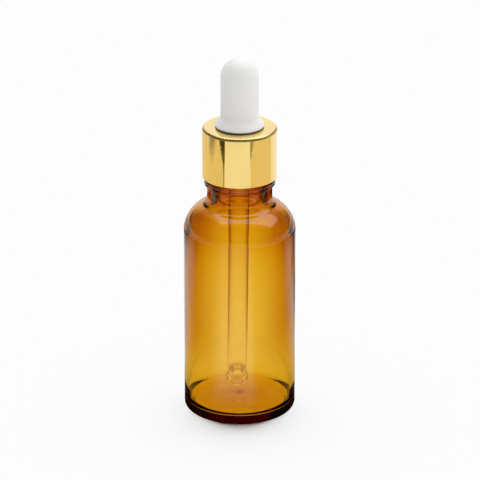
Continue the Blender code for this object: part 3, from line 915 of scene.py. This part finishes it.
amber, tree, output = new_tree("blown_amber_soda_lime_glass")
place = add(tree, "ShaderNodeTexCoord")
waves = add(tree, "ShaderNodeTexNoise", {
    "Vector": place.outputs["Object"], "Scale": 1 / (WAVE_LENGTH * MM), "Detail": 1.0,
    "Roughness": 0.4})
skin = add(tree, "ShaderNodeBump", {
    "Strength": 0.6, "Distance": WAVE_HEIGHT * MM, "Height": waves.outputs["Fac"]})
haze = add(tree, "ShaderNodeMapRange", {
    "Value": waves.outputs["Fac"], "From Min": 0.3, "From Max": 0.7, "To Max": GLASS_HAZE})
glass = add(tree, "ShaderNodeBsdfPrincipled", {
    "Base Color": linear("FFEEC8"), "Metallic": 0.0, "Roughness": haze.outputs[0],
    "IOR": GLASS_IOR, "Transmission Weight": 1.0, "Normal": skin.outputs[0]})
melt = add(tree, "ShaderNodeVolumeAbsorption", {
    "Color": AMBER_LEAVES, "Density": AMBER_DENSITY})
tree.links.new(glass.outputs[0], output.inputs["Surface"])
tree.links.new(melt.outputs[0], output.inputs["Volume"])
print("a millimetre of amber glass lets through",
      [round(math.exp(-AMBER_DENSITY * MM * (1 - part)), 2) for part in AMBER_LEAVES[:3]])

# %% [markdown]
# ## The bottle
#
# The bottle has a foot ring around a shallow push-up, a tight heel, straight sides, a
# round shoulder and a thick neck. Above the neck are the bead that the collar's foot
# sits on, and the finish with its thread. The inside is blown, so its floor is a low
# dome with a soft trough round it. Wall, floor and neck differ in thickness, and that
# draws the dark heel and the honey-coloured middle. The wall is thinner than in the
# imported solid, because the colour that shows depends on it.

# %% Make the bottle
BODY = 16.5
NECK = 9.6
MOUTH = 5.6
FINISH = 8.0
BEAD = 10.45
RIM = 85.07
THREAD_BELOW_RIM = 3.0
outside = [
    (0, 1.2, 0), (6.45, 1.2, 66), (12.9, 0, 0.8), (BODY, 0, 1.8),
    (BODY, 62.28, 8.55), (NECK, 65.315, 3.0),
    (NECK, 70.6, 0.2), (BEAD, 71.1, 0.55), (BEAD, 73.07, 0.8), (FINISH, 73.07, 0.4),
]
rim = [(FINISH, RIM, 0.8), (MOUTH, RIM, 0.8)]
inside = [
    (MOUTH, 73.5, 1.5), (6.5, 71.0, 1.5), (6.5, 64.72, 5.0), (14.4, 61.25, 6.5),
    (15.5, 52.0, 75), (15.8, 40.0, 250), (15.85, 8.0, 20), (15.4, 1.6, 2.6),
    (6.4, 4.4, 33), (0, 4.4, 0),
]
bottle = piece("bottle", turned(outside + rim + inside, steps=192), amber)
male = piece("male_thread", ridge(FINISH, THREAD_DEPTH,
                                  RIM - THREAD_BELOW_RIM - THREAD_CLIMB / 2))
weld(bottle, male)
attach(bottle, "bottle")
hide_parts("glass_bottle")
print("bottle:", len(bottle.data.polygons), "faces")

# %% [markdown]
# ## Gold anodised aluminium
#
# The collar is drawn from bright aluminium sheet and anodised: the metal shines
# through a hard clear layer dyed gold. So it is a metal with a yellow reflection, with
# a thin clear coat over it. Drawing leaves ripples 2 mm long round the wall and under
# 1 mm wide, which only show as a ragged edge on a reflection, and handling leaves a
# faint bloom in patches of 5 mm or so. The top edge is where the sheet was stretched
# most, and its polish is duller there.

# %% Make the gold
RIPPLE_LENGTH, RIPPLE_SQUEEZE, RIPPLE_HEIGHT = 1.923, 2.2, 0.004
BLOOM_SIZE = 5.556
GOLD_BRIGHT, GOLD_DEEP = "F9DC89", "F4D47E"
POLISH_BEST, POLISH_WORST, RIM_ROUGH = 0.03, 0.07, 0.40
RIM_INNER, RIM_OUTER = 9.9, 10.4
RIM_LOW, RIM_HIGH = 87.7, 88.2

gold, tree, output = new_tree("drawn_gold_anodised_aluminium")
place = add(tree, "ShaderNodeTexCoord")
squeezed = add(tree, "ShaderNodeMapping", {
    "Vector": place.outputs["Object"], "Scale": (1.0, 1.0, RIPPLE_SQUEEZE)})
ripple = add(tree, "ShaderNodeTexNoise", {
    "Vector": squeezed.outputs[0], "Scale": 1 / (RIPPLE_LENGTH * MM), "Detail": 2.0,
    "Roughness": 0.5})
drawn = add(tree, "ShaderNodeBump", {
    "Strength": 1.0, "Distance": RIPPLE_HEIGHT * MM, "Height": ripple.outputs["Fac"]})
bloom = add(tree, "ShaderNodeTexNoise", {
    "Vector": place.outputs["Object"], "Scale": 1 / (BLOOM_SIZE * MM), "Detail": 3.0})
polish = add(tree, "ShaderNodeMapRange", {
    "Value": bloom.outputs["Fac"], "From Min": 0.3, "From Max": 0.75,
    "To Min": POLISH_BEST, "To Max": POLISH_WORST})
parts = add(tree, "ShaderNodeSeparateXYZ", {0: place.outputs["Object"]})
level = add(tree, "ShaderNodeCombineXYZ", {
    "X": parts.outputs["X"], "Y": parts.outputs["Y"]})
radius = add(tree, "ShaderNodeVectorMath", {0: level.outputs[0]}, operation="LENGTH")
outer = add(tree, "ShaderNodeMapRange", {
    "Value": radius.outputs["Value"], "From Min": RIM_INNER * MM,
    "From Max": RIM_OUTER * MM})
upper = add(tree, "ShaderNodeMapRange", {
    "Value": parts.outputs["Z"], "From Min": RIM_LOW * MM, "From Max": RIM_HIGH * MM})
top_edge = add(tree, "ShaderNodeMath", {0: outer.outputs[0], 1: upper.outputs[0]},
               operation="MULTIPLY")
rough = add(tree, "ShaderNodeMix", {
    0: top_edge.outputs[0], 2: polish.outputs[0], 3: RIM_ROUGH}, data_type="FLOAT")
tone = add(tree, "ShaderNodeMix", {
    0: bloom.outputs["Fac"], 6: linear(GOLD_BRIGHT), 7: linear(GOLD_DEEP)},
    data_type="RGBA")
metal = add(tree, "ShaderNodeBsdfPrincipled", {
    "Base Color": tone.outputs[2], "Metallic": 1.0, "Roughness": rough.outputs[0],
    "Coat Weight": 0.5, "Coat Roughness": 0.05, "Coat IOR": 1.6,
    "Normal": drawn.outputs[0]})
tree.links.new(metal.outputs[0], output.inputs["Surface"])
print("gold from", GOLD_BRIGHT, "to", GOLD_DEEP)

# %% [markdown]
# ## The collar's shell
#
# The shell is a cup drawn from 0.4 mm sheet: a rounded top edge, a hole punched in the
# top for the teat, and a foot turned slightly in so that it doesn't scratch the bead.
# It is a closed outline, because a sheet has an inside as well.

# %% Make the shell
HOLE = 6.1
shell_corners = [
    (HOLE, 88.77, 0.15), (HOLE, 88.37, 0.15), (10.6, 88.37, 0.55), (10.6, 73.75, 0.2),
    (10.5, 73.37, 0.08), (10.93, 73.37, 0.06), (11.0, 73.45, 0.06), (11.0, 88.77, 0.9),
]
shell = piece("gold_shell", turned(shell_corners, closed=True), gold)
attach(shell, "collar")
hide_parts("collar_shell")
print("shell:", len(shell.data.polygons), "faces")

# %% [markdown]
# ## Black moulded plastic
#
# The cap inside the collar is moulded from polypropylene coloured black, slightly waxy,
# with a soft, low shine and the faint grain of a spark-eroded mould. Such a grain is a
# few hundredths of a millimetre across and wouldn't show, so it is drawn 0.4 mm wide.

# %% Make the plastic
GRAIN_SIZE, GRAIN_HEIGHT = 0.4, 0.01
PLASTIC_IOR = 1.49

plastic, tree, output = new_tree("moulded_black_polypropylene")
place = add(tree, "ShaderNodeTexCoord")
grain = add(tree, "ShaderNodeTexNoise", {
    "Vector": place.outputs["Object"], "Scale": 1 / (GRAIN_SIZE * MM), "Detail": 2.0})
eroded = add(tree, "ShaderNodeBump", {
    "Strength": 0.5, "Distance": GRAIN_HEIGHT * MM, "Height": grain.outputs["Fac"]})
rough = add(tree, "ShaderNodeMapRange", {
    "Value": grain.outputs["Fac"], "To Min": 0.36, "To Max": 0.50})
waxy = add(tree, "ShaderNodeBsdfPrincipled", {
    "Base Color": linear("1C1B1A"), "Roughness": rough.outputs[0], "IOR": PLASTIC_IOR,
    "Normal": eroded.outputs[0]})
tree.links.new(waxy.outputs[0], output.inputs["Surface"])
print("plastic grain:", GRAIN_SIZE, "mm")

# %% [markdown]
# ## The cap inside the collar
#
# The sheet metal is too thin to carry a thread, so a moulded cap inside it does. Its
# thread stands into the bore, half a pitch below the bottle's own.

# %% Make the inner cap
BORE = 9.25
liner_corners = [
    (HOLE, 88.07, 0.15), (HOLE, 87.07, 0.15), (BORE, 87.07, 0.3), (BORE, 73.77, 0.2),
    (10.1, 73.77, 0.15), (10.3, 74.17, 0.3), (10.3, 88.07, 0.6),
]
liner = piece("inner_cap", turned(liner_corners, closed=True), plastic)
female = piece("female_thread", ridge(BORE, -THREAD_DEPTH,
                                      RIM - THREAD_BELOW_RIM - (THREAD_CLIMB + PITCH) / 2))
weld(liner, female)
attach(liner, "collar")
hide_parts("collar_liner")
print("inner cap:", len(liner.data.polygons), "faces")

# %% [markdown]
# ## White silicone
#
# The teat is moulded from white silicone rubber. It has no shine to speak of, only a
# soft sheen at grazing angles, and a skin that picks up a little dust. The specks are
# too fine to show, so the dust is drawn as patches of about 4 mm with finer ones inside.

# %% Make the silicone
DUST_SIZE, DUST_HEIGHT = 3.846, 0.02
SILICONE_WHITE, SILICONE_DUSTY = "F8F7F6", "F2F1EF"
SILICONE_IOR = 1.41

silicone, tree, output = new_tree("moulded_white_silicone_rubber")
place = add(tree, "ShaderNodeTexCoord")
dust = add(tree, "ShaderNodeTexNoise", {
    "Vector": place.outputs["Object"], "Scale": 1 / (DUST_SIZE * MM), "Detail": 4.0,
    "Roughness": 0.6})
tone = add(tree, "ShaderNodeMix", {
    0: dust.outputs["Fac"], 6: linear(SILICONE_WHITE), 7: linear(SILICONE_DUSTY)},
    data_type="RGBA")
rough = add(tree, "ShaderNodeMapRange", {
    "Value": dust.outputs["Fac"], "To Min": 0.50, "To Max": 0.68})
matt = add(tree, "ShaderNodeBump", {
    "Strength": 0.35, "Distance": DUST_HEIGHT * MM, "Height": dust.outputs["Fac"]})
rubber = add(tree, "ShaderNodeBsdfPrincipled", {
    "Base Color": tone.outputs[2], "Roughness": rough.outputs[0], "IOR": SILICONE_IOR,
    "Sheen Weight": 0.15, "Sheen Roughness": 0.5, "Normal": matt.outputs[0]})
tree.links.new(rubber.outputs[0], output.inputs["Surface"])
print("silicone from", SILICONE_WHITE, "to", SILICONE_DUSTY)

# %% [markdown]
# ## The teat
#
# The teat is one hollow moulding. Below the barrel a skirt flares out over the collar.
# Under it, out of sight, a groove holds the edge of the collar's hole, a flange seals on
# the bottle's rim, and a stem grips the pipette.

# %% Make the teat
BARREL = 5.6
teat_corners = [
    (0, 108.07, 0), (4.0, 108.07, 3.9), (4.0, 89.07, 0.3), (3.3, 89.07, 0.2),
    (3.3, 78.37, 0.2), (4.8, 78.37, 0.4), (4.8, 85.37, 0.4), (8.35, 85.37, 0.3),
    (8.35, 86.77, 0.3), (5.8, 86.77, 0.2), (5.8, 88.95, 0.15),
    (7.71, 88.95, 0.53), (BARREL, 91.64, 2.5), (BARREL, 109.67, 5.5), (0, 109.67, 0),
]
teat = piece("teat", turned(teat_corners), silicone)
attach(teat, "dropper")
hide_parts("dropper_teat")
print("teat:", len(teat.data.polygons), "faces")

# %% [markdown]
# ## Clear glass
#
# The pipette is drawn borosilicate tube. It has next to no colour, so only its edges
# and its reflections show. Drawing leaves hair lines along it, which are drawn 1.4 mm
# wide here so that they show at all. Borosilicate glass has an index of 1.47, but it is
# set lower, because inside the amber glass the photograph shows a fainter tube than
# that gives.

# %% Make the clear glass
TUBE_IOR = 1.33
LINE_WIDTH, LINE_STRETCH, LINE_HEIGHT = 1.4286, 0.06, 0.0006

clear, tree, output = new_tree("drawn_clear_borosilicate_glass")
place = add(tree, "ShaderNodeTexCoord")
lengthened = add(tree, "ShaderNodeMapping", {
    "Vector": place.outputs["Object"], "Scale": (1.0, 1.0, LINE_STRETCH)})
lines = add(tree, "ShaderNodeTexNoise", {
    "Vector": lengthened.outputs[0], "Scale": 1 / (LINE_WIDTH * MM), "Detail": 1.0})
skin = add(tree, "ShaderNodeBump", {
    "Strength": 0.5, "Distance": LINE_HEIGHT * MM, "Height": lines.outputs["Fac"]})
haze = add(tree, "ShaderNodeMapRange", {"Value": lines.outputs["Fac"], "To Max": 0.01})
tube = add(tree, "ShaderNodeBsdfPrincipled", {
    "Base Color": linear("FFFFFF"), "Roughness": haze.outputs[0], "IOR": TUBE_IOR,
    "Transmission Weight": 1.0, "Normal": skin.outputs[0]})
tree.links.new(tube.outputs[0], output.inputs["Surface"])
print("clear glass with index", TUBE_IOR)

# %% [markdown]
# ## The pipette
#
# The tube is flared at the top, so that it can't drop out of the teat. Its lower end
# was drawn in and gathered into a ball with a small bubble and a fine hole, which
# meters the drops. It hangs a little askew in its soft socket.

# %% Make the pipette
TUBE, TUBE_BORE = 3.0, 2.74
SOCKET_MIDDLE = 83.72
LEAN = math.radians(0.6)
outer_side = [
    (3.5, 90.57, 0.35), (3.5, 89.9, 0.5), (TUBE, 89.3, 0.8), (TUBE, 12.75, 0.35),
    (2.58, 12.2, 0.25), (2.58, 11.0, 0.3), (3.25, 10.25, 1.9), (3.25, 8.26, 2.2),
    (2.1, 7.4, 1.0), (1.35, 6.6, 0.3), (0.6, 6.6, 0.15),
]
bore_side = [
    (0.6, 7.3, 0.2), (1.95, 8.0, 1.4), (1.95, 10.4, 1.4), (1.25, 11.0, 0.35),
    (1.25, 11.9, 0.35), (TUBE_BORE, 12.7, 0.5), (TUBE_BORE, 90.57, 0.15),
]
bm = turned(outer_side + bore_side, closed=True, steps=96)
bmesh.ops.rotate(bm, verts=bm.verts, cent=(0, 0, SOCKET_MIDDLE * MM),
                 matrix=Matrix.Rotation(LEAN, 3, "Y"))
pipette = piece("pipette", bm, clear)
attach(pipette, "dropper")
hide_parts("glass_pipette")
print("pipette:", len(pipette.data.polygons), "faces")

# %% [markdown]
# ## Light through many walls
#
# A ray that crosses the bottle and the pipette passes eight glass surfaces, and more
# where it runs inside a wall. Blender's usual limit would end such rays in black. The
# Standard view shows each colour as it was written.

# %% Let light pass through all the glass
WALLS_CROSSED = 32
MIRRORS_CROSSED = 8
bpy.context.scene.cycles.max_bounces = WALLS_CROSSED
bpy.context.scene.cycles.transmission_bounces = WALLS_CROSSED
bpy.context.scene.cycles.glossy_bounces = MIRRORS_CROSSED
bpy.context.scene.view_settings.view_transform = "Standard"
print("light may cross", WALLS_CROSSED, "glass surfaces")
